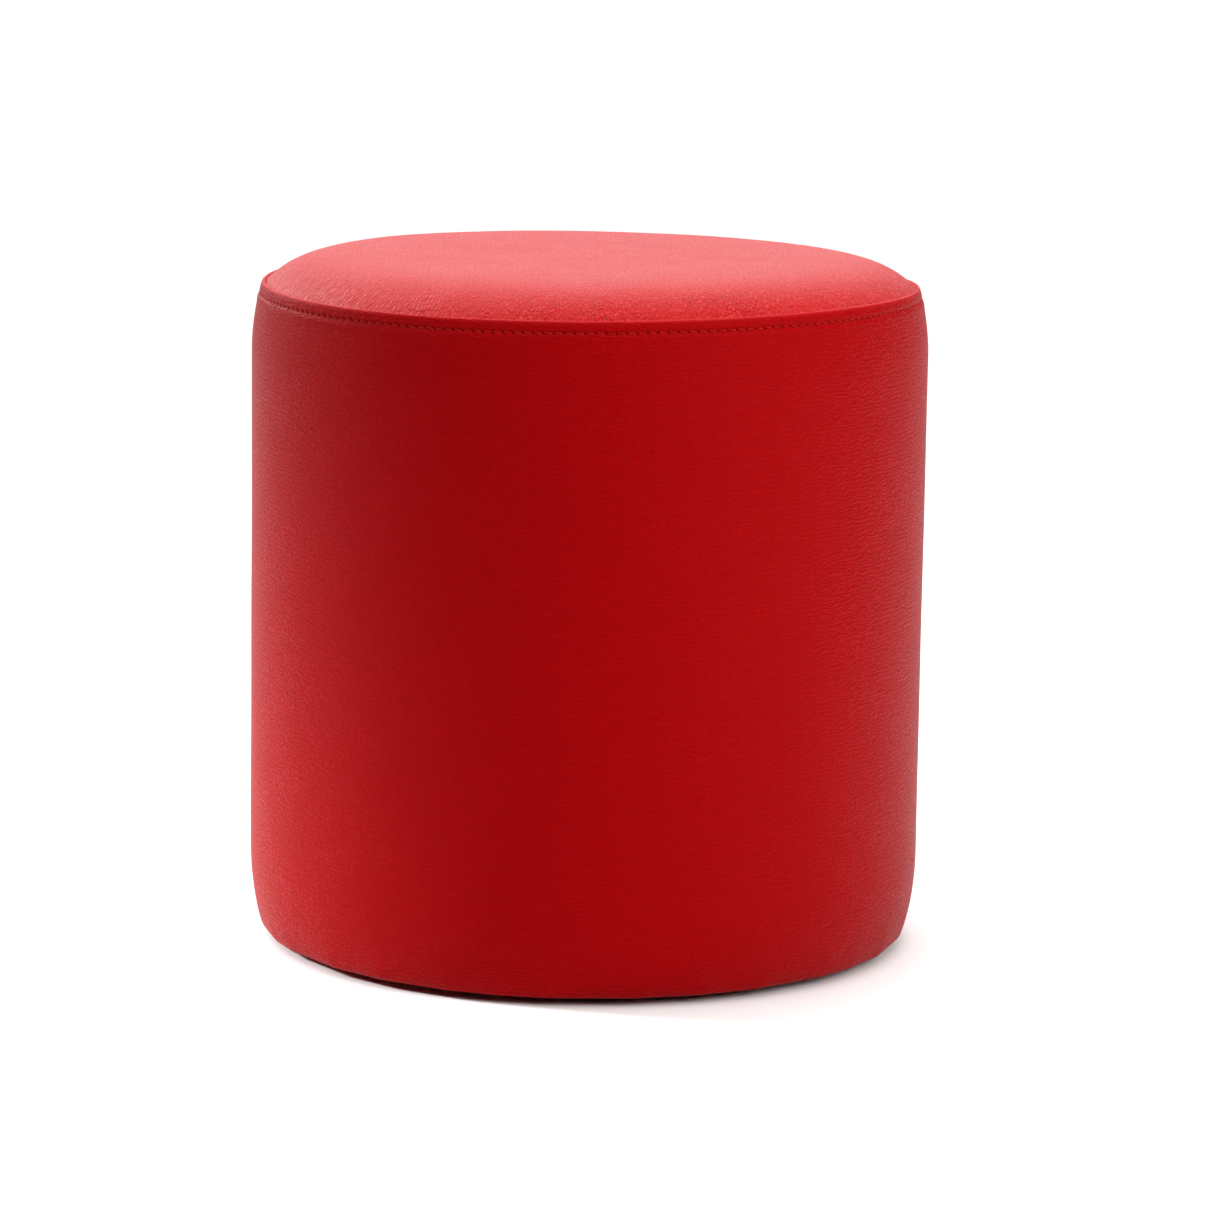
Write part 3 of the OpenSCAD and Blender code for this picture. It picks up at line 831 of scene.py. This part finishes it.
polyethylene = new_material("polyethylene_moulded")
place = add(polyethylene, "TexCoord").outputs["Object"]
spark = 0.0005
texture = add(polyethylene, "TexNoise", {"Scale": 1 / spark, "Detail": 3.0}, {"Vector": place})
scuffs = add(polyethylene, "TexNoise", {"Scale": 1.0, "Detail": 5.0},
             {"Vector": add(polyethylene, "Mapping", {"Scale": (90, 700, 90)}, {"Vector": place})})
tone = add(polyethylene, "ValToRGB", {"stops": [(0.45, "#141416"), (0.75, "#3A3A3C")]}, {"Fac": scuffs})
worn = add(polyethylene, "MapRange", {"To Min": 0.38, "To Max": 0.62}, {"Value": scuffs})
relief = add(polyethylene, "Bump", {"Strength": 0.4, "Distance": 0.0001}, {"Height": texture})
shader = add(polyethylene, "BsdfPrincipled", {"IOR": 1.51},
             {"Base Color": tone, "Roughness": worn, "Normal": relief})
add(polyethylene, "OutputMaterial", {}, {"Surface": shader})
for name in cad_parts:
    if name.startswith("glide_") and name != "glide_screws":
        dress(name, polyethylene)


# ---- studio ----------------------------------------------------------------
# A wide pale floor, soft lights and a long lens a little above the seat.

floor_mesh = bpy.data.meshes.new("studio_floor")
floor_mesh.from_pydata([(-20, -20, 0), (20, -20, 0), (20, 20, 0), (-20, 20, 0)], [], [(0, 1, 2, 3)])
floor = bpy.data.objects.new("studio_floor", floor_mesh)
bpy.context.scene.collection.objects.link(floor)
paper = new_material("paper_sweep_matt")
place = add(paper, "TexCoord").outputs["Object"]
fibres = add(paper, "TexNoise", {"Scale": 900.0, "Detail": 3.0}, {"Vector": place})
tone = add(paper, "ValToRGB", {"stops": [(0.3, "#EDECEB"), (0.7, "#F1F0EF")]}, {"Fac": fibres})
shader = add(paper, "BsdfPrincipled", {"Roughness": 0.9, "Specular IOR Level": 0.1}, {"Base Color": tone})
add(paper, "OutputMaterial", {}, {"Surface": shader})
floor_mesh.materials.append(paper)

# The room is dim but for a lit ceiling and a lit wall behind the seat
world = bpy.data.worlds.new("studio_room")
bpy.context.scene.world = world
world.use_nodes = True
world.node_tree.nodes.clear()
direction = add(world, "TexCoord").outputs["Generated"]


def glow(toward, spread, strength):
    """Light from a round part of the room, fading out at its edge."""
    facing = add(world, "VectorMath", {"operation": "DOT_PRODUCT", 1: Vector(toward).normalized()},
                 {0: direction}).outputs["Value"]
    return add(world, "MapRange",
               {"interpolation_type": "SMOOTHSTEP", "From Min": math.cos(math.radians(spread)),
                "From Max": 1.0, "To Min": 0.0, "To Max": strength}, {"Value": facing})


ceiling = glow((0.0, 0.0, 1.0), 60, 2.0)
wall_behind = glow((0.0, 0.94, 0.34), 38, 1.6)
both = add(world, "Math", {"operation": "ADD"}, {0: ceiling, 1: wall_behind})
air = add(world, "Background", {}, {"Strength": both})
add(world, "OutputWorld", {}, {"Surface": air})


def aimed(data, place, target):
    """Hangs a lamp at a place, turned to its target."""
    lamp = bpy.data.objects.new(data.name, data)
    lamp.location = place
    lamp.rotation_euler = (Vector(target) - Vector(place)).to_track_quat("-Z", "Y").to_euler()
    bpy.context.scene.collection.objects.link(lamp)


def soft_light(name, place, target, size, watts):
    """A rectangular softbox."""
    data = bpy.data.lights.new(name, "AREA")
    data.shape = "RECTANGLE"
    data.size, data.size_y = size
    data.energy = watts
    aimed(data, place, target)


middle = (0.0, 0.0, 0.2)
soft_light("overhead_softbox", (0.0, 0.0, 1.9), (0.0, 0.0, 0.0), (1.6, 1.6), 20)
soft_light("left_back_softbox", (-1.5, 1.5, 1.3), middle, (1.0, 1.2), 22)
soft_light("right_front_softbox", (1.6, -1.3, 1.2), middle, (1.0, 1.2), 34)
wash = bpy.data.lights.new("left_foot_wash", "SPOT")
wash.energy, wash.spot_size, wash.spot_blend = 400, math.radians(16), 1.0
wash.shadow_soft_size = 0.2
aimed(wash, (-2.4, 0.35, 1.2), (-0.19, -0.06, 0.0))
soft_light("backdrop_light", (0.0, 7.5, 5.0), (0.0, 7.5, 0.0), (12.0, 13.0), 380)

bpy.context.scene.view_settings.view_transform = "Standard"

camera_data = bpy.data.cameras.new("camera")
camera_data.sensor_width = 36.0
camera_data.lens = 151.04
camera_data.clip_end = 100.0
camera = bpy.data.objects.new("camera", camera_data)
bpy.context.scene.collection.objects.link(camera)
pitch_down, turn_right, lean = math.radians(9.906), math.radians(0.233), math.radians(0.836)
camera_away, eye_height = 15.0 * wall_r, 3.583 * wall_r
camera.location = (0.0, -camera_away, eye_height + cover_z)
aim = Vector((math.sin(turn_right) * math.cos(pitch_down),
              math.cos(turn_right) * math.cos(pitch_down), -math.sin(pitch_down)))
camera.rotation_euler = aim.to_track_quat("-Z", "Y").to_euler()
camera.rotation_euler.rotate_axis("Z", lean)
bpy.context.scene.camera = camera
